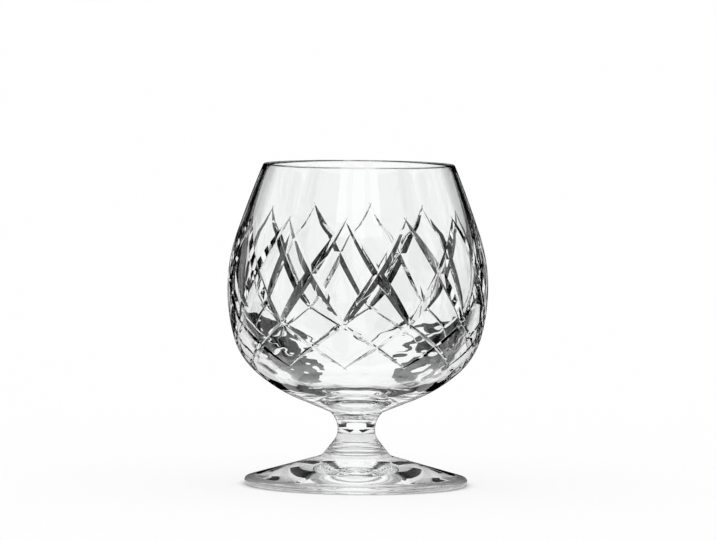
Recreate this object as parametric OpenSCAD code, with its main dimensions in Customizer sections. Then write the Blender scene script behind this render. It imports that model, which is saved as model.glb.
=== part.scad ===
// Cut-crystal brandy snifter: a blown bowl with mitre-cut diamonds, an applied stem and a foot.
// Millimetres, +Z up, origin on the table at the centre of the foot.

/* [Bowl outline] */
// Height of the rim above the table
rim_z = 120; // [114:0.5:126]
// Outside diameter at the widest place
belly_d = 97.4; // [95:0.2:100]
// Height of the widest place
belly_z = 73.7; // [71:0.1:76]
// Outside diameter at the rim, as a share of the widest
rim_share = 0.731; // [0.7:0.001:0.76]
// How far the lip swells between its ends
lip_swell = 0.2; // [0.1:0.1:0.6]
// Height where the lip turns into the round belly
neck_z = 96.5; // [93:0.5:99]
// Outside diameter there, as a share of the widest
neck_share = 0.912; // [0.89:0.001:0.93]
// Height where the belly starts to turn in
shoulder_z = 55.7; // [54:0.1:58]
// Outside diameter there, as a share of the widest
shoulder_share = 0.951; // [0.935:0.001:0.965]
// Height at the middle of the turn under the bowl
heel_z = 42.4; // [41:0.2:44]
// Outside diameter there, as a share of the widest
heel_share = 0.784; // [0.76:0.001:0.81]
// Height where the underside runs straight to the stem
under_z = 31.4; // [30.6:0.2:32]
// Outside diameter there, as a share of the widest
under_share = 0.41; // [0.37:0.005:0.45]

/* [Bowl wall] */
// Thickness of the fire-polished lip
rim_wall = 1.8; // [1.4:0.1:2.4]
// Wall where the lip turns into the belly
neck_wall = 2.8; // [2.4:0.1:3.2]
// Wall at the widest place
belly_wall = 3.8; // [3.4:0.1:4.4]
// Wall where the belly starts to turn in
shoulder_wall = 4.5; // [4:0.1:5]
// Round of the inside heel, as a share of the widest that clears the floor
inside_heel_share = 0.86; // [0.75:0.01:0.95]
// Glass under the lowest place of the inside
floor_wall = 6.8; // [6:0.2:8]

/* [Cut diamonds] */
// Tall diamonds round the bowl
diamonds = 12; // [9:1:14]
// Height of the upper points of the tall diamonds
peak_z = 101; // [99:0.1:104]
// Height where the tall cuts cross for the first time
cross_z = 81.4; // [79:0.1:84]
// Height of the lower points of the tall diamonds
toe_z = 62.8; // [61:0.1:65]
// Height where the low cuts cross
low_cross_z = 54.3; // [53:0.1:56]
// Height where the low cuts run out
low_end_z = 46.5; // [45:0.1:48]
// Included angle of the wheel that cuts the tall diamonds
tall_angle = 112; // [100:1:124]
// Depth of a tall cut at its upper end
tall_peak_depth = 0.15; // [0.1:0.05:0.3]
// Depth of a tall cut at its middle
tall_mid_depth = 1.3; // [0.9:0.1:1.7]
// Depth of a tall cut at its lower end
tall_toe_depth = 0.55; // [0.3:0.05:0.7]
// Included angle of the wheel that cuts the low diamonds
low_angle = 100; // [90:1:120]
// Depth of a low cut at its upper end
low_top_depth = 0.5; // [0.3:0.05:0.7]
// Depth of a low cut at its middle
low_mid_depth = 0.65; // [0.4:0.05:0.9]
// Depth of a low cut at its lower end
low_end_depth = 0.15; // [0.1:0.05:0.3]

/* [Stem] */
// Height where the bowl sits on the stem
stem_top_z = 27.2; // [26:0.2:28]
// Diameter of the stem's top
stem_top_d = 19.5; // [18:0.2:21]
// Height of the stem's narrowest place
waist_z = 20.6; // [20:0.1:21.5]
// Diameter at the stem's narrowest place
waist_d = 14; // [13:0.2:15]
// Height where the stem sits on the foot
stem_foot_z = 12; // [11.4:0.1:12.6]
// Diameter where the stem sits on the foot
stem_foot_d = 24; // [23:0.2:25]
// Lean of the stem's lower part, from upright
stem_lean = 38; // [36:1:42]

/* [Foot] */
// Diameter of the foot
foot_d = 83.6; // [78:0.2:90]
// Thickness of the foot's rounded edge
foot_edge = 3; // [2.4:0.1:3.6]
// Fall of the foot's upper side towards its edge
foot_fall = 16; // [15:0.5:17]
// Width of the ground ring that stands on the table
ground_ring = 4; // [3:0.5:6]
// Height of the hollow under the middle of the foot
punt_h = 1.4; // [0.8:0.1:2]

/* [Hidden] */
$fn = 120;
glass = [0.84, 0.91, 0.94];
// Largest turn between two points of a wide curve, and of a small round edge
arc_step = 8;
edge_step = 30;
// Turn of the front, and of the first tall diamond from it
front = -90;
first_turn = -6.2;
diamond_step = 360 / diamonds;
// Flat sides round the bowl, a whole number to each diamond
sides_per_diamond = 4;
bowl_sides = diamonds * sides_per_diamond;
// Height of the wheel's V, and the faces of the prism between two slices of it
wheel_h = 2.4;
prism_faces = [[0, 1, 2], [5, 4, 3], [0, 3, 4, 1], [1, 4, 5, 2], [2, 5, 3, 0]];
// Straight steps along a tall and a low cut
tall_steps = 6;
low_steps = 3;
// Share of a cut by which it runs on past each end, and over which its direction is taken
run_share = 0.03;
track_share = 0.02;

// An arc of the bowl's outline is [radius of its centre, height of its centre, its own radius,
// lowest height, highest height]. This one leaves point p, where its outward normal has the given
// tilt above the horizontal, and ends at point q.
function arc_from(p, tilt, q) =
    let(normal = [cos(tilt), sin(tilt)], chord = q - p)
    let(own = -(chord * chord) / (2 * chord * normal))
    [p[0] - own * normal[0], p[1] - own * normal[1], own, min(p[1], q[1]), max(p[1], q[1])];
// This one joins a low point to a high one and swells outwards between them.
function arc_swollen(low, high, swell) =
    let(chord = high - low, length = norm(chord))
    let(own = (length * length / 4 + swell * swell) / (2 * swell))
    let(middle = (low + high) / 2, reach = (own - swell) / length)
    [middle[0] - chord[1] * reach, middle[1] + chord[0] * reach, own, low[1], high[1]];
function arc_r(arc, z) = arc[0] + sqrt(arc[2] * arc[2] - (z - arc[1]) * (z - arc[1]));
function arc_tilt(arc, z) = asin((z - arc[1]) / arc[2]);
function arc_points(arc, from, to, step = arc_step) =
    let(steps = max(2, ceil(abs(to - from) / step)))
    [for (i = [0:steps])
        let(a = from + (to - from) * i / steps)
        [arc[0] + arc[2] * cos(a), arc[1] + arc[2] * sin(a)]];

// Outside of the bowl
belly_r = belly_d / 2;
rim = [rim_share * belly_r, rim_z];
neck = [neck_share * belly_r, neck_z];
belly = [belly_r, belly_z];
shoulder = [shoulder_share * belly_r, shoulder_z];
heel = [heel_share * belly_r, heel_z];
under = [under_share * belly_r, under_z];
out_lip = arc_swollen(neck, rim, lip_swell);
out_neck = arc_from(belly, 0, neck);
out_belly = arc_from(belly, 0, shoulder);
out_heel = arc_from(shoulder, arc_tilt(out_belly, shoulder_z), heel);
out_under = arc_from(heel, arc_tilt(out_heel, heel_z), under);
out_arcs = [out_lip, out_neck, out_belly, out_heel, out_under];
function out_arc(z) = [for (arc = out_arcs) if (z >= arc[3] && z <= arc[4]) arc][0];

// Inside of the bowl: its wall, a round heel, and a floor that is part of a ball on the axis
in_neck_point = [neck[0] - neck_wall, neck_z];
in_belly_point = [belly[0] - belly_wall, belly_z];
in_shoulder_point = [shoulder[0] - shoulder_wall, shoulder_z];
floor_z = stem_top_z + floor_wall;
in_lip = arc_swollen(in_neck_point, [rim[0] - rim_wall, rim_z], lip_swell);
in_neck = arc_from(in_belly_point, 0, in_neck_point);
in_belly = arc_from(in_belly_point, 0, in_shoulder_point);
in_tilt = arc_tilt(in_belly, shoulder_z);
in_heel_r = inside_heel_share * (shoulder_z - floor_z) / (1 + sin(in_tilt));
in_heel_out = in_shoulder_point[0] - in_heel_r * cos(in_tilt);
in_heel_z = shoulder_z - in_heel_r * sin(in_tilt);
in_heel_h = in_heel_z - floor_z;
ball_r = (in_heel_out * in_heel_out + in_heel_h * in_heel_h - in_heel_r * in_heel_r)
    / (2 * (in_heel_h - in_heel_r));
ball_c = floor_z + ball_r;
ball_z = in_heel_z - in_heel_r * (ball_c - in_heel_z) / (ball_r - in_heel_r);
in_heel = [in_heel_out, in_heel_z, in_heel_r, ball_z, shoulder_z];
in_ball = [0, ball_c, ball_r, floor_z, ball_z];

// Points of a whole arc, upwards or downwards, and a run of points without its first, which the run
// before it has already given
function arc_up(arc) = arc_points(arc, arc_tilt(arc, arc[3]), arc_tilt(arc, arc[4]));
function arc_down(arc) = arc_points(arc, arc_tilt(arc, arc[4]), arc_tilt(arc, arc[3]));
function after_first(points) = [for (i = [1:len(points) - 1]) points[i]];

// The whole wall in one outline: up the outside, over the half-round lip, down the inside
module bowl_profile() {
    lean = arc_tilt(out_lip, rim_z);
    bead_r = rim_wall / 2 * cos(lean);
    bead_z = rim_z - bead_r;
    bead = [(arc_r(out_lip, bead_z) + arc_r(in_lip, bead_z)) / 2, bead_z, bead_r];
    out_end = arc_tilt(out_lip, bead_z + bead_r * sin(lean));
    in_start = arc_tilt(in_lip, bead_z - bead_r * sin(lean));
    polygon(concat(
        [[0, stem_top_z], [stem_top_d / 2, stem_top_z]],
        arc_up(out_under),
        after_first(arc_up(out_heel)),
        after_first(arc_up(out_belly)),
        after_first(arc_up(out_neck)),
        after_first(arc_points(out_lip, arc_tilt(out_lip, neck_z), out_end)),
        after_first(arc_points(bead, lean, lean + 180, edge_step)),
        after_first(arc_points(in_lip, in_start, arc_tilt(in_lip, neck_z))),
        after_first(arc_down(in_neck)),
        after_first(arc_down(in_belly)),
        after_first(arc_down(in_heel)),
        after_first(arc_down(in_ball))
    ));
}

// A place on the bowl's skin, sunk by a depth, and the skin's outward normal there
function skin_normal(turn, z) =
    let(tilt = arc_tilt(out_arc(z), z))
    [cos(tilt) * cos(turn), cos(tilt) * sin(turn), sin(tilt)];
function skin_place(turn, z, depth) =
    let(r = arc_r(out_arc(z), z))
    [r * cos(turn), r * sin(turn), z] - depth * skin_normal(turn, z);

// A cut runs over one diamond step of turn. Its height and its depth are given at its two ends and
// its middle, as [start, middle, end], and a smooth curve joins the three.
function through(three, t) =
    three[0] * (1 - t) * (1 - 2 * t) + three[1] * 4 * t * (1 - t) + three[2] * t * (2 * t - 1);
function cut_place(side, heights, depths, t) =
    skin_place(side * diamond_step * t, through(heights, t), through(depths, t));

// The V of the wheel's rim, as the three corners of a slice across the cut: the first lies on the
// bottom of the cut, and the V opens along the skin's normal.
function wheel_slice(side, heights, depths, angle, t) =
    let(bottom = cut_place(side, heights, depths, t))
    let(ahead = cut_place(side, heights, depths, t + track_share)
        - cut_place(side, heights, depths, t - track_share))
    let(out = skin_normal(side * diamond_step * t, through(heights, t)))
    let(across = cross(out, ahead) / norm(cross(out, ahead)) * wheel_h * tan(angle / 2))
    [bottom, bottom + wheel_h * out + across, bottom + wheel_h * out - across];

// One mitre cut, ground by moving the wheel along its line
module mitre_cut(side, heights, depths, angle, steps) {
    slices = [for (i = [0:steps])
        let(t = -run_share + (1 + 2 * run_share) * i / steps)
        wheel_slice(side, heights, depths, angle, t)];
    for (i = [0:steps - 1])
        hull() polyhedron(concat(slices[i], slices[i + 1]), prism_faces);
}

// From every diamond one tall cut and one low cut run down to the right, and one of each to the left.
module diamond_cuts() {
    for (i = [0:diamonds - 1], side = [-1, 1])
        rotate([0, 0, i * diamond_step]) {
            mitre_cut(
                side,
                [peak_z, cross_z, toe_z],
                [tall_peak_depth, tall_mid_depth, tall_toe_depth],
                tall_angle, tall_steps
            );
            mitre_cut(
                side,
                [toe_z, low_cross_z, low_end_z],
                [low_top_depth, low_mid_depth, low_end_depth],
                low_angle, low_steps
            );
        }
}

module bowl() {
    color(glass) rotate([0, 0, front + first_turn]) difference() {
        rotate_extrude($fn = bowl_sides) bowl_profile();
        diamond_cuts();
    }
}

// Outline of the stem: a hollow curve flares up to the bowl, another runs down into a cone
stem_drop = waist_z - stem_foot_z;
stem_spread = (stem_foot_d - waist_d) / 2;
low_curve_r = (stem_drop * tan(stem_lean) - stem_spread) / (1 / cos(stem_lean) - 1);
low_curve = [waist_d / 2 + low_curve_r, waist_z, low_curve_r];
stem_rise = stem_top_z - waist_z;
top_spread = (stem_top_d - waist_d) / 2;
top_curve_r = (top_spread * top_spread + stem_rise * stem_rise) / (2 * top_spread);
top_curve = [waist_d / 2 + top_curve_r, waist_z, top_curve_r];

module stem() {
    color(glass) rotate_extrude() polygon(concat(
        [[0, stem_top_z]],
        arc_points(top_curve, 180 - asin(stem_rise / top_curve_r), 180),
        after_first(arc_points(low_curve, 180, 180 + stem_lean)),
        [[stem_foot_d / 2, stem_foot_z], [0, stem_foot_z]]
    ));
}

// The foot's upper side takes up the stem's cone, turns out and falls straight to a round edge.
// Underneath, a flat ring stands on the table round a shallow hollow.
edge_r = foot_edge / 2;
edge_arc = [foot_d / 2 - edge_r, edge_r, edge_r];
ring_r = foot_d / 2 - edge_r - ground_ring;

module foot() {
    turn_out = 90 - foot_fall;
    edge_top = [edge_arc[0] + edge_r * sin(foot_fall), edge_r + edge_r * cos(foot_fall)];
    seat = [stem_foot_d / 2, stem_foot_z];
    run = edge_top - seat;
    spread = cos(stem_lean) - cos(turn_out);
    drop = sin(turn_out) - sin(stem_lean);
    curve_r = (-run[1] - run[0] / tan(turn_out)) / (drop - spread / tan(turn_out));
    curve = [seat[0] + curve_r * cos(stem_lean), seat[1] + curve_r * sin(stem_lean), curve_r];
    punt_r = (ring_r * ring_r + punt_h * punt_h) / (2 * punt_h);
    punt = [0, punt_h - punt_r, punt_r];
    color(glass) rotate_extrude() polygon(concat(
        [[0, stem_foot_z]],
        arc_points(curve, 180 + stem_lean, 180 + turn_out),
        arc_points(edge_arc, turn_out, -90, edge_step / 2),
        arc_points(punt, acos(ring_r / punt_r), 90)
    ));
}

bowl();
stem();
foot();
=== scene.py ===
from math import asin, ceil, cos, pi, radians, degrees, sin, sqrt, tan

import bmesh
import bpy
from mathutils import Matrix, Vector


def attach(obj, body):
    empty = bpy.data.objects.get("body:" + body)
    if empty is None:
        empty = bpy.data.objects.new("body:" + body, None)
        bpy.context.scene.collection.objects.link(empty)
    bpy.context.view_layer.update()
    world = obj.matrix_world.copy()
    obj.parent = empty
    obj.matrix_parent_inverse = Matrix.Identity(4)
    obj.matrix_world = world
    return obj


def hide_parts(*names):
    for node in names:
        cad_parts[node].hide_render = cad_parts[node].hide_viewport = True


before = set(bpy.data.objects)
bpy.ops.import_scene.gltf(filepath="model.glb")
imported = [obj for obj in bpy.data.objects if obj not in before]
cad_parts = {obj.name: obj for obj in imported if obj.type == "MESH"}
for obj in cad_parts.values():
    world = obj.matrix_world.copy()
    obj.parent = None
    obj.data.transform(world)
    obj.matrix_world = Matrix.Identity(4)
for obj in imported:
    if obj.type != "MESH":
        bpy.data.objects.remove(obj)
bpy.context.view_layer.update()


# Foot. A gather of hot crystal dropped on the end of the stem, pressed out flat and turned while
# it cools: the upper side falls in one sweep to a fire-rounded edge. Underneath, a ground ring
# stands on the table round a shallow hollow. Sizes are in millimetres until a piece is finished.
# Points closer than weld are made one, and those within near of a plane lie in it.
foot_d = 83.5
foot_edge = 3.0
foot_fall = 16.0
foot_top_z = 12.0
foot_top_d = 24.0
cone_lean = 38.0
ground_ring = 4.0
hollow_h = 1.4
weld = 0.0005
near = 0.001
sharp_turn = 16


def start_at(bm, place):
    """Puts the pen down on a place (radius, height) of an outline."""
    return bm.verts.new((place[0], 0, place[1]))


def straight_to(bm, pen, place):
    """Draws a straight line to a place."""
    end = start_at(bm, place)
    bm.edges.new((pen, end))
    return end


def round_by(bm, pen, centre, turn, largest=3.0):
    """Carries the pen round a centre by a turn in degrees, anticlockwise positive, in steps of
    no more than the largest."""
    steps = max(2, ceil(abs(turn) / largest))
    swept = bmesh.ops.spin(
        bm, geom=[pen], cent=(centre[0], 0, centre[1]), axis=(0, -1, 0),
        angle=radians(turn), steps=steps,
    )
    return [v for v in swept["geom_last"] if isinstance(v, bmesh.types.BMVert)][0]


def turn_on_axis(bm, sides=288):
    """Spins the outline once round the axis of the glass into a closed skin."""
    bmesh.ops.spin(
        bm, geom=bm.verts[:] + bm.edges[:], cent=(0, 0, 0), axis=(0, 0, 1),
        angle=2 * pi, steps=sides, use_merge=True,
    )
    bmesh.ops.remove_doubles(bm, verts=bm.verts[:], dist=weld)
    bmesh.ops.recalc_face_normals(bm, faces=bm.faces[:])


def mark_joint(bm, height, radius):
    """Gives the flat disc at a height, where two gathers are fused, the second finish."""
    for face in bm.faces:
        flat = all(abs(v.co.z - height) < near for v in face.verts)
        if flat and all(v.co.xy.length < radius + near for v in face.verts):
            face.material_index = 1


def finish_piece(bm, name, *finishes):
    """Turns the bmesh, drawn in millimetres, into a smooth-shaded piece of the glass in metres."""
    for edge in bm.edges:
        edge.smooth = edge.calc_face_angle(0) < radians(sharp_turn)
    for face in bm.faces:
        face.smooth = True
    bmesh.ops.scale(bm, vec=(0.001, 0.001, 0.001), verts=bm.verts[:])
    mesh = bpy.data.meshes.new(name)
    bm.to_mesh(mesh)
    bm.free()
    glass = bpy.data.objects.new(name, mesh)
    bpy.context.scene.collection.objects.link(glass)
    for finish in finishes:
        mesh.materials.append(finish)
    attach(glass, "root")
    return glass


def crystal(name, ripple, stretch, lift):
    """Clear polished lead crystal with the faint ripples that are left in its skin."""
    finish = bpy.data.materials.new(name)
    finish.use_nodes = True
    nodes, links = finish.node_tree.nodes, finish.node_tree.links
    skin = nodes["Principled BSDF"]
    skin.inputs["Base Color"].default_value = (0.99, 0.996, 0.994, 1)
    skin.inputs["Roughness"].default_value = 0.0
    skin.inputs["IOR"].default_value = 1.545
    skin.inputs["Transmission Weight"].default_value = 1.0
    place = nodes.new("ShaderNodeTexCoord")
    turned = nodes.new("ShaderNodeMapping")
    turned.inputs["Scale"].default_value = stretch
    waves = nodes.new("ShaderNodeTexNoise")
    waves.inputs["Scale"].default_value = ripple
    waves.inputs["Detail"].default_value = 1.0
    bump = nodes.new("ShaderNodeBump")
    bump.inputs["Strength"].default_value = 1.0
    bump.inputs["Distance"].default_value = lift
    links.new(place.outputs["Object"], turned.inputs["Vector"])
    links.new(turned.outputs["Vector"], waves.inputs["Vector"])
    links.new(waves.outputs["Fac"], bump.inputs["Height"])
    links.new(bump.outputs["Normal"], skin.inputs["Normal"])
    return finish


def fused_joint():
    """Where two gathers are fused hot the glass runs on, so light passes straight through."""
    finish = bpy.data.materials.new("fused_joint")
    finish.use_nodes = True
    nodes, links = finish.node_tree.nodes, finish.node_tree.links
    nodes.remove(nodes["Principled BSDF"])
    through = nodes.new("ShaderNodeBsdfTransparent")
    links.new(through.outputs["BSDF"], nodes["Material Output"].inputs["Surface"])
    return finish


pressed_crystal = crystal("pressed_crystal", 90.0, (1, 1, 3), 0.00001)
fused = fused_joint()

edge_r = foot_edge / 2
edge_c = (foot_d / 2 - edge_r, edge_r)
out_turn = 90 - foot_fall
lean, out = radians(cone_lean), radians(out_turn)
edge_top = (edge_c[0] + edge_r * cos(out), edge_r + edge_r * sin(out))
run_r, run_z = edge_top[0] - foot_top_d / 2, edge_top[1] - foot_top_z
sweep_fall = sin(out) - sin(lean) - (cos(lean) - cos(out)) / tan(out)
sweep_r = (-run_z - run_r / tan(out)) / sweep_fall
sweep_c = (foot_top_d / 2 + sweep_r * cos(lean), foot_top_z + sweep_r * sin(lean))
ring_r = edge_c[0] - ground_ring
hollow_r = (ring_r ** 2 + hollow_h ** 2) / (2 * hollow_h)
bm = bmesh.new()
pen = straight_to(bm, start_at(bm, (0, foot_top_z)), (foot_top_d / 2, foot_top_z))
pen = round_by(bm, pen, sweep_c, out_turn - cone_lean)
pen = straight_to(bm, pen, edge_top)
pen = round_by(bm, pen, edge_c, -90 - out_turn, largest=12)
pen = straight_to(bm, pen, (ring_r, 0))
hollow_turn = degrees(asin(ring_r / hollow_r))
round_by(bm, pen, (0, hollow_h - hollow_r), hollow_turn, largest=0.3)
turn_on_axis(bm)
mark_joint(bm, foot_top_z, foot_top_d / 2)
foot = finish_piece(bm, "foot_glass", pressed_crystal, fused)
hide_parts("foot")


# Stem. A second gather stuck to the bowl's underside and drawn out short: it flares up to the
# bowl, narrows to a waist and runs out in a cone onto the foot. The cone keeps a few fine rings
# where the jaws of the tool turned it down.
stem_top_z = 27.2
stem_top_d = 19.5
waist_z = 20.6
waist_d = 14.0
rings = 4
ring_swell = 0.05

spread, rise = (stem_top_d - waist_d) / 2, stem_top_z - waist_z
flare_r = (spread ** 2 + rise ** 2) / (2 * spread)
drop, splay = waist_z - foot_top_z, (foot_top_d - waist_d) / 2
root_r = (drop * tan(lean) - splay) / (1 / cos(lean) - 1)
bm = bmesh.new()
pen = straight_to(bm, start_at(bm, (0, stem_top_z)), (stem_top_d / 2, stem_top_z))
flare_turn = degrees(asin(rise / flare_r))
pen = round_by(bm, pen, (waist_d / 2 + flare_r, waist_z), flare_turn)
pen = round_by(bm, pen, (waist_d / 2 + root_r, waist_z), cone_lean)
cone_start = Vector((pen.co.x, pen.co.z))
cone_step = (Vector((foot_top_d / 2, foot_top_z)) - cone_start) / rings
across = Vector((-cone_step.y, cone_step.x)).normalized()
for i in range(rings):
    bulge_r = cone_step.length ** 2 / (8 * ring_swell)
    middle = cone_start + cone_step * (i + 0.5) - across * (bulge_r - ring_swell)
    half = degrees(asin(cone_step.length / 2 / bulge_r))
    pen = round_by(bm, pen, middle, -2 * half, largest=half / 3)
straight_to(bm, pen, (0, foot_top_z))
turn_on_axis(bm)
mark_joint(bm, stem_top_z, stem_top_d / 2)
mark_joint(bm, foot_top_z, foot_top_d / 2)
stem = finish_piece(bm, "stem_glass", pressed_crystal, fused)
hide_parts("stem")


# Bowl. Blown in a mould from one gather: thick at its heel, thinner up to a fire-polished lip.
# Its skin is drawn as arcs from the table's side up, and one twelfth of it is turned first, so
# that the wheel has one diamond to cut before the rest is turned round.
rim_z, rim_d, lip_swell = 119.95, 71.2, 0.2
neck = Vector((88.8 / 2, 96.5))
belly = Vector((97.28 / 2, 73.7))
shoulder = Vector((92.6 / 2, 55.7))
heel = Vector((76.34 / 2, 42.4))
under = Vector((39.9 / 2, 31.4))
rim_wall, neck_wall, belly_wall, shoulder_wall, floor_wall = 1.8, 2.8, 3.8, 4.5, 6.8
heel_share = 0.86
diamonds = 12
first_turn = -6.2
slice_start = -7.5
slice_steps = 24
weld_outline = 0.02


class Arc:
    """Part of a bowl's outline: a centre, a radius and the heights that it runs between."""

    def __init__(self, centre, radius, low, high):
        self.c, self.r, self.low, self.high = Vector(centre), radius, low, high

    def tilt(self, z):
        return degrees(asin(max(-1, min(1, (z - self.c.y) / self.r))))

    def out(self, z):
        return self.c.x + sqrt(self.r ** 2 - (z - self.c.y) ** 2)


def leaving(p, tilt, q):
    """The arc that leaves p with its skin facing out at a tilt, and ends at q."""
    facing = Vector((cos(radians(tilt)), sin(radians(tilt))))
    chord = q - p
    radius = -chord.length_squared / (2 * chord.dot(facing))
    return Arc(p - radius * facing, radius, min(p.y, q.y), max(p.y, q.y))


def swollen(low, high, swell):
    """The arc between two points that swells out between them."""
    chord, middle = high - low, (low + high) / 2
    radius = (chord.length ** 2 / 4 + swell ** 2) / (2 * swell)
    inward = Vector((-chord.y, chord.x)).normalized()
    return Arc(middle + inward * (radius - swell), radius, low.y, high.y)


def along(bm, pen, arc, to_z, largest):
    """Carries the pen along an arc to a height."""
    return round_by(bm, pen, arc.c, arc.tilt(to_z) - arc.tilt(pen.co.z), largest)


lip_out = swollen(neck, Vector((rim_d / 2, rim_z)), lip_swell)
neck_out = leaving(belly, 0, neck)
belly_out = leaving(belly, 0, shoulder)
heel_out = leaving(shoulder, belly_out.tilt(shoulder.y), heel)
under_out = leaving(heel, heel_out.tilt(heel.y), under)
skin_arcs = [lip_out, neck_out, belly_out, heel_out, under_out]

neck_in_p = neck - Vector((neck_wall, 0))
belly_in_p = belly - Vector((belly_wall, 0))
shoulder_in_p = shoulder - Vector((shoulder_wall, 0))
lip_in = swollen(neck_in_p, Vector((rim_d / 2 - rim_wall, rim_z)), lip_swell)
neck_in = leaving(belly_in_p, 0, neck_in_p)
belly_in = leaving(belly_in_p, 0, shoulder_in_p)
in_tilt = radians(belly_in.tilt(shoulder.y))
floor_z = stem_top_z + floor_wall
heel_in_r = heel_share * (shoulder.y - floor_z) / (1 + sin(in_tilt))
heel_c = shoulder_in_p - heel_in_r * Vector((cos(in_tilt), sin(in_tilt)))
reach = heel_c.y - floor_z
ball_r = (heel_c.x ** 2 + reach ** 2 - heel_in_r ** 2) / (2 * (reach - heel_in_r))
ball_c = floor_z + ball_r
ball_z = heel_c.y - heel_in_r * (ball_c - heel_c.y) / (ball_r - heel_in_r)
heel_in = Arc(heel_c, heel_in_r, ball_z, shoulder.y)
ball_in = Arc((0, ball_c), ball_r, floor_z, ball_z)

bead_r = rim_wall / 2 * cos(radians(lip_out.tilt(rim_z)))
bead_z = rim_z - bead_r
bead_c = ((lip_out.out(bead_z) + lip_in.out(bead_z)) / 2, bead_z)
bead_run = 0.3
lip_lean = radians(lip_out.tilt(bead_z))
bead_start = (bead_c[0] + bead_r * cos(lip_lean), bead_z + bead_r * sin(lip_lean))
bm = bmesh.new()
axis_low = start_at(bm, (0, stem_top_z))
pen = straight_to(bm, axis_low, (stem_top_d / 2, stem_top_z))
pen = straight_to(bm, pen, under)
pen = along(bm, pen, under_out, heel.y, largest=1.6)
pen = along(bm, pen, heel_out, shoulder.y, largest=2.4)
pen = along(bm, pen, belly_out, belly.y, largest=1.0)
pen = along(bm, pen, neck_out, neck.y, largest=1.0)
pen = along(bm, pen, lip_out, bead_start[1], largest=0.4)
pen = straight_to(bm, pen, bead_start)
pen = round_by(bm, pen, bead_c, 180, largest=12)
lip_end = pen.co.z - bead_run
pen = straight_to(bm, pen, (lip_in.out(lip_end), lip_end))
pen = along(bm, pen, lip_in, neck.y, largest=0.4)
pen = along(bm, pen, neck_in, belly.y, largest=1.5)
pen = along(bm, pen, belly_in, shoulder.y, largest=1.5)
pen = along(bm, pen, heel_in, ball_z, largest=3.0)
pen = along(bm, pen, ball_in, floor_z, largest=1.2)
bm.edges.new((pen, axis_low))
bmesh.ops.remove_doubles(bm, verts=bm.verts[:], dist=weld_outline)
bmesh.ops.contextual_create(bm, geom=bm.edges[:])
slice_turn = 360 / diamonds
bmesh.ops.rotate(bm, verts=bm.verts[:], matrix=Matrix.Rotation(radians(slice_start), 3, "Z"))
bmesh.ops.spin(
    bm, geom=bm.verts[:] + bm.edges[:] + bm.faces[:], cent=(0, 0, 0), axis=(0, 0, 1),
    angle=radians(slice_turn), steps=slice_steps,
)
bmesh.ops.remove_doubles(bm, verts=bm.verts[:], dist=weld)
bmesh.ops.recalc_face_normals(bm, faces=bm.faces[:])
bowl_slice = bpy.data.meshes.new("bowl_slice")
bm.to_mesh(bowl_slice)
bm.free()

# Mitre cuts. A wheel with a V edge grinds two families of slanting grooves that cross in tall
# diamonds, and from their lower points two finer families that run out under the belly. Each is
# deepest at its middle and thins out to a point at its upper end.
peak_z, cross_z, toe_z, low_cross_z, low_end_z = 101.0, 81.4, 62.8, 54.3, 46.5
toe_gap = 0.15
tall_depths, low_depths = [0.15, 1.35, 0.6], [0.42, 0.65, 0.15]
tall_angle, low_angle = 112.0, 100.0
tall_steps, low_steps = 36, 24
tall_cut = ([peak_z, cross_z, toe_z], tall_depths, tall_angle, tall_steps)
low_cut = ([toe_z - toe_gap, low_cross_z, low_end_z], low_depths, low_angle, low_steps)
wheel_h = 2.4
run_on = 0.03
look_on = 0.02
weld_slices = 0.001


def through(three, t):
    """A smooth value that passes through three given ones at the start, middle and end."""
    start, middle, end = three
    return start * (1 - t) * (1 - 2 * t) + middle * 4 * t * (1 - t) + end * t * (2 * t - 1)


def skin_at(turn, z):
    """The place on the uncut skin at a turn and a height, and which way the skin faces there."""
    arc = [a for a in skin_arcs if a.low <= z <= a.high][0]
    tilt, turn = radians(arc.tilt(z)), radians(turn)
    facing = Vector((cos(tilt) * cos(turn), cos(tilt) * sin(turn), sin(tilt)))
    return Vector((arc.out(z) * cos(turn), arc.out(z) * sin(turn), z)), facing


def wheel_track(side, heights, depths, angle, steps):
    """The body of glass that one family of cuts takes away: a three-cornered bar, bent along the
    cut's line on the skin and sunk by its depth, and its neighbours to the left and right."""
    def bottom(t):
        place, facing = skin_at(side * slice_turn * t, through(heights, t))
        return place - facing * through(depths, t)

    bm = bmesh.new()
    bmesh.ops.create_cone(
        bm, cap_ends=True, segments=3, radius1=1, radius2=1, depth=1,
        matrix=Matrix.Rotation(radians(90), 4, "Y"),
    )
    for i in range(1, steps):
        bmesh.ops.bisect_plane(
            bm, geom=bm.verts[:] + bm.edges[:] + bm.faces[:],
            plane_co=(i / steps - 0.5, 0, 0), plane_no=(1, 0, 0),
        )
    # The bar's one edge that starts over 0.5 is the edge of the wheel, and the others lie outside.
    for v in bm.verts:
        t = -run_on + (1 + 2 * run_on) * (v.co.x + 0.5)
        facing = skin_at(side * slice_turn * t, through(heights, t))[1]
        ahead = bottom(t + look_on) - bottom(t - look_on)
        half = facing.cross(ahead).normalized() * wheel_h * tan(radians(angle / 2))
        if v.co.y > 0.5:
            v.co = bottom(t)
        else:
            v.co = bottom(t) + wheel_h * facing + (half if v.co.z > 0 else -half)
    bmesh.ops.triangulate(bm, faces=bm.faces[:])
    bmesh.ops.recalc_face_normals(bm, faces=bm.faces[:])
    bmesh.ops.rotate(bm, verts=bm.verts[:], matrix=Matrix.Rotation(radians(-slice_turn), 3, "Z"))
    bmesh.ops.spin(
        bm, geom=bm.verts[:] + bm.edges[:] + bm.faces[:], cent=(0, 0, 0), axis=(0, 0, 1),
        angle=radians(2 * slice_turn), steps=2, use_duplicate=True,
    )
    for face in bm.faces:
        face.material_index = 1
    mesh = bpy.data.meshes.new("wheel_track")
    bm.to_mesh(mesh)
    bm.free()
    return mesh


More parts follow.
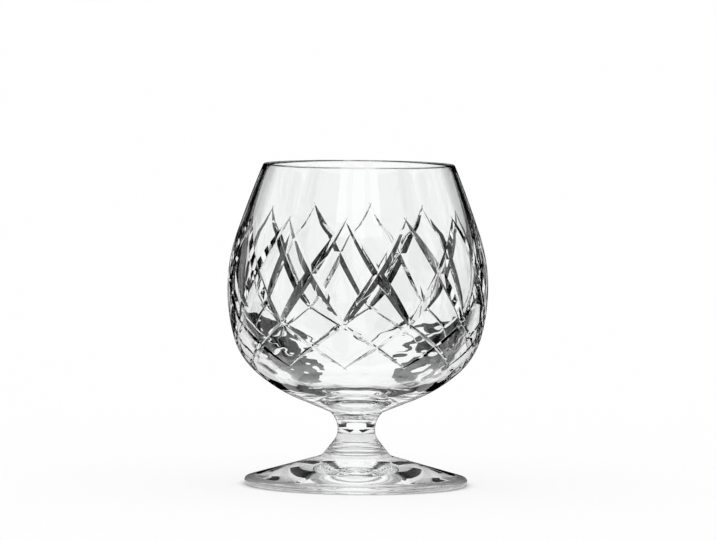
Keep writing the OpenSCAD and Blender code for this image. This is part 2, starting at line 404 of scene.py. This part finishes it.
# The blown skin of the bowl. Its thick heel, between 37 and 64 mm up, set slowly in the mould and
# kept stronger waves than the rest, and they break up what is seen through it.
blown_crystal = crystal("blown_crystal", 60.0, (1, 1, 2), 0.00001)
nodes, links = blown_crystal.node_tree.nodes, blown_crystal.node_tree.links
heel_waves = nodes.new("ShaderNodeTexNoise")
heel_waves.inputs["Scale"].default_value = 90.0
heel_waves.inputs["Detail"].default_value = 1.0
height = nodes.new("ShaderNodeSeparateXYZ")
down = nodes.new("ShaderNodeMapRange")
down.inputs["From Min"].default_value = 0.064
down.inputs["From Max"].default_value = 0.050
down.inputs["To Min"].default_value = 0.0
down.inputs["To Max"].default_value = 0.0005
up = nodes.new("ShaderNodeMapRange")
up.inputs["From Min"].default_value = 0.037
up.inputs["From Max"].default_value = 0.045
between = nodes.new("ShaderNodeMath")
between.operation = "MULTIPLY"
heel_bump = nodes.new("ShaderNodeBump")
heel_bump.inputs["Strength"].default_value = 1.0
links.new(nodes["Mapping"].outputs["Vector"], heel_waves.inputs["Vector"])
links.new(nodes["Texture Coordinate"].outputs["Object"], height.inputs["Vector"])
links.new(height.outputs["Z"], down.inputs["Value"])
links.new(height.outputs["Z"], up.inputs["Value"])
links.new(down.outputs["Result"], between.inputs[0])
links.new(up.outputs["Result"], between.inputs[1])
links.new(between.outputs[0], heel_bump.inputs["Distance"])
links.new(heel_waves.outputs["Fac"], heel_bump.inputs["Height"])
links.new(heel_bump.outputs["Normal"], nodes["Bump"].inputs["Normal"])
cut_crystal = crystal("cut_crystal", 400.0, (1, 1, 1), 0.000002)
bowl_slice.materials.append(blown_crystal)
bowl_slice.materials.append(cut_crystal)
blank = bpy.data.objects.new("bowl_slice", bowl_slice)
bpy.context.scene.collection.objects.link(blank)
tracks = []
for side, cut in [(1, tall_cut), (-1, tall_cut), (1, low_cut), (-1, low_cut)]:
    track = bpy.data.objects.new("wheel_track", wheel_track(side, *cut))
    track.data.materials.append(blown_crystal)
    track.data.materials.append(cut_crystal)
    bpy.context.scene.collection.objects.link(track)
    grind = blank.modifiers.new("grind", "BOOLEAN")
    grind.operation, grind.solver, grind.object = "DIFFERENCE", "EXACT", track
    tracks.append(track)
bpy.context.view_layer.update()
ground = blank.evaluated_get(bpy.context.evaluated_depsgraph_get())
cut_slice = bpy.data.meshes.new_from_object(ground)
for used in tracks + [blank]:
    bpy.data.objects.remove(used)

bm = bmesh.new()
bm.from_mesh(cut_slice)
ends = [radians(slice_start), radians(slice_start + slice_turn)]
sides = [Vector((-sin(end), cos(end), 0)) for end in ends]
open_faces = [
    f for f in bm.faces
    if any(all(abs(v.co.dot(n)) < weld for v in f.verts) for n in sides)
]
bmesh.ops.delete(bm, geom=open_faces, context="FACES")
bmesh.ops.spin(
    bm, geom=bm.verts[:] + bm.edges[:] + bm.faces[:], cent=(0, 0, 0), axis=(0, 0, 1),
    angle=radians(360 - slice_turn), steps=diamonds - 1, use_duplicate=True,
)
bmesh.ops.remove_doubles(bm, verts=bm.verts[:], dist=weld_slices)
to_front = Matrix.Rotation(radians(first_turn - 90), 3, "Z")
bmesh.ops.rotate(bm, verts=bm.verts[:], matrix=to_front)
bmesh.ops.recalc_face_normals(bm, faces=bm.faces[:])
for face in bm.faces:
    if all(abs(v.co.z - stem_top_z) < near for v in face.verts):
        face.material_index = 2
bowl = finish_piece(bm, "bowl_glass", blown_crystal, cut_crystal, fused)
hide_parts("bowl")


# Table and surround. A plain white table runs on to a white surround, and both show white to the
# camera and in the glass. The table keeps the shadow of the glass. Its glow is taken away in a
# ring under the ground ring of the foot. This is painted contact shade: only the board's own lit
# and shadowed shading shows there.
ring_middle_r = 0.0395
# Half widths of the painted contact shade round the ring's middle: no glow within the first, full
# glow past the second.
ring_painted_shade_half, ring_glow_full_half = 0.0025, 0.0055
table_glow = 0.7
table_r = 12


def white_table():
    """White board that glows white to the camera and in the glass, but not in a ring under the
    foot, where the glow is taken away as painted contact shade.
    """
    finish = bpy.data.materials.new("white_table")
    finish.use_nodes = True
    nodes, links = finish.node_tree.nodes, finish.node_tree.links
    board = nodes["Principled BSDF"]
    board.inputs["Base Color"].default_value = (0.99, 0.99, 0.99, 1)
    board.inputs["Roughness"].default_value = 0.9
    board.inputs["Specular IOR Level"].default_value = 0.0
    shine = nodes.new("ShaderNodeEmission")
    shine.inputs["Color"].default_value = (1, 1, 1, 1)
    ray = nodes.new("ShaderNodeLightPath")
    seen = nodes.new("ShaderNodeMath")
    seen.operation = "MAXIMUM"
    seen_too = nodes.new("ShaderNodeMath")
    seen_too.operation = "MAXIMUM"
    place = nodes.new("ShaderNodeTexCoord")
    away = nodes.new("ShaderNodeVectorMath")
    away.operation = "LENGTH"
    past_ring = nodes.new("ShaderNodeMath")
    past_ring.operation = "SUBTRACT"
    past_ring.inputs[1].default_value = ring_middle_r
    from_ring = nodes.new("ShaderNodeMath")
    from_ring.operation = "ABSOLUTE"
    # Painted contact shade: the glow fades out towards the middle of the ring under the foot's
    # ground ring, so the table shows darker there.
    glow_past_painted_shade = nodes.new("ShaderNodeMapRange")
    glow_past_painted_shade.inputs["From Min"].default_value = ring_painted_shade_half
    glow_past_painted_shade.inputs["From Max"].default_value = ring_glow_full_half
    glow_past_painted_shade.inputs["To Min"].default_value = 0.0
    glow_past_painted_shade.inputs["To Max"].default_value = table_glow
    share = nodes.new("ShaderNodeMath")
    share.operation = "MULTIPLY"
    mix = nodes.new("ShaderNodeMixShader")
    links.new(ray.outputs["Is Camera Ray"], seen.inputs[0])
    links.new(ray.outputs["Is Glossy Ray"], seen.inputs[1])
    links.new(seen.outputs[0], seen_too.inputs[0])
    links.new(ray.outputs["Is Transmission Ray"], seen_too.inputs[1])
    links.new(place.outputs["Object"], away.inputs[0])
    links.new(away.outputs["Value"], past_ring.inputs[0])
    links.new(past_ring.outputs[0], from_ring.inputs[0])
    links.new(from_ring.outputs[0], glow_past_painted_shade.inputs["Value"])
    links.new(seen_too.outputs[0], share.inputs[0])
    links.new(glow_past_painted_shade.outputs["Result"], share.inputs[1])
    links.new(share.outputs[0], mix.inputs["Fac"])
    links.new(board.outputs["BSDF"], mix.inputs[1])
    links.new(shine.outputs["Emission"], mix.inputs[2])
    links.new(mix.outputs["Shader"], nodes["Material Output"].inputs["Surface"])
    return finish


bm = bmesh.new()
bmesh.ops.create_circle(bm, cap_ends=True, segments=96, radius=table_r)
table_mesh = bpy.data.meshes.new("table")
bm.to_mesh(table_mesh)
bm.free()
table = bpy.data.objects.new("table", table_mesh)
bpy.context.scene.collection.objects.link(table)
table_mesh.materials.append(white_table())

world = bpy.data.worlds.new("white_surround")
bpy.context.scene.world = world
world.use_nodes = True
world.node_tree.nodes["Background"].inputs["Color"].default_value = (1, 1, 1, 1)
world.node_tree.nodes["Background"].inputs["Strength"].default_value = 1.0


# Flags. Black cards lie and stand round the glass, as in a studio for glass, with a white lane
# between them behind it and the same lanes to its left, right and front. The camera doesn't see
# them, but the bent rays in the glass do. Two more show only as dark mirror images on its skin.
black = bpy.data.materials.new("black_card")
black.use_nodes = True
velvet = black.node_tree.nodes["Principled BSDF"]
velvet.inputs["Base Color"].default_value = (0.004, 0.004, 0.004, 1)
velvet.inputs["Roughness"].default_value = 1.0
velvet.inputs["Specular IOR Level"].default_value = 0.0
lane_card = [(-0.014, 0.062), (-0.024, 0.25), (-0.05, 0.45), (-0.3, 0.4), (-0.055, 0.125)]
lying_z = 0.0003
room_r = 0.5


def set_flag(bm, name, mirrored_only=False):
    """Turns a card, drawn in metres, four times round the glass and hides it from the camera. One
    that is mirrored only shows on the skin of the glass, and not through it."""
    bmesh.ops.spin(
        bm, geom=bm.verts[:] + bm.edges[:] + bm.faces[:], cent=(0, 0, 0), axis=(0, 0, 1),
        angle=radians(270), steps=3, use_duplicate=True,
    )
    mesh = bpy.data.meshes.new(name)
    bm.to_mesh(mesh)
    bm.free()
    mesh.materials.append(black)
    card = bpy.data.objects.new(name, mesh)
    bpy.context.scene.collection.objects.link(card)
    card.visible_camera = card.visible_diffuse = card.visible_shadow = False
    card.visible_transmission = not mirrored_only


def bent_card(inner, outer, half):
    """A card bent round the glass, from an inner or lower edge (radius, height) to the other. It
    reaches the half angle, in degrees, to each side of a diagonal."""
    bm = bmesh.new()
    straight_to(bm, start_at(bm, inner), outer)
    bmesh.ops.rotate(bm, verts=bm.verts[:], matrix=Matrix.Rotation(radians(45 - half), 3, "Z"))
    bmesh.ops.spin(
        bm, geom=bm.verts[:] + bm.edges[:], cent=(0, 0, 0), axis=(0, 0, 1),
        angle=radians(2 * half), steps=12,
    )
    return bm


bm = bmesh.new()
for x, y in lane_card:
    bm.verts.new((x, y, lying_z))
bmesh.ops.contextual_create(bm, geom=bm.verts[:])
bmesh.ops.mirror(bm, geom=bm.verts[:] + bm.edges[:] + bm.faces[:], merge_dist=0, axis="X")
set_flag(bm, "lane_flags")
set_flag(bent_card((0.3, 0.054), (0.3, 0.36), 22), "upright_flags")
set_flag(bent_card((0.52, lying_z), (1.5, lying_z), 28), "far_flags")
set_flag(bent_card((room_r, lying_z), (room_r, 0.42), 45), "dark_room", mirrored_only=True)
set_flag(bent_card((0.065, lying_z), (room_r, lying_z), 45), "dark_floor", mirrored_only=True)


# Camera. A long lens from a little above the rim's height, with the slight lean of the photograph.
# Light may bend many times on its way through the cuts, the heel and the foot.
camera = bpy.data.cameras.new("camera")
camera.lens = 309.2
camera.sensor_width = 36.0
eye = bpy.data.objects.new("camera", camera)
bpy.context.scene.collection.objects.link(eye)
eye.location = (0, -2.29, 0.212)
aim_z, roll = 0.0803, 0.6
aim = (Vector((0, 0, aim_z)) - eye.location).to_track_quat("-Z", "Y")
eye.rotation_euler = (aim @ Matrix.Rotation(radians(roll), 3, "Z").to_quaternion()).to_euler()
camera.clip_end = 100.0
bpy.context.scene.camera = eye
bpy.context.scene.view_settings.view_transform = "Standard"
light_paths = bpy.context.scene.cycles
light_paths.max_bounces = light_paths.transmission_bounces = 32
light_paths.glossy_bounces = 10
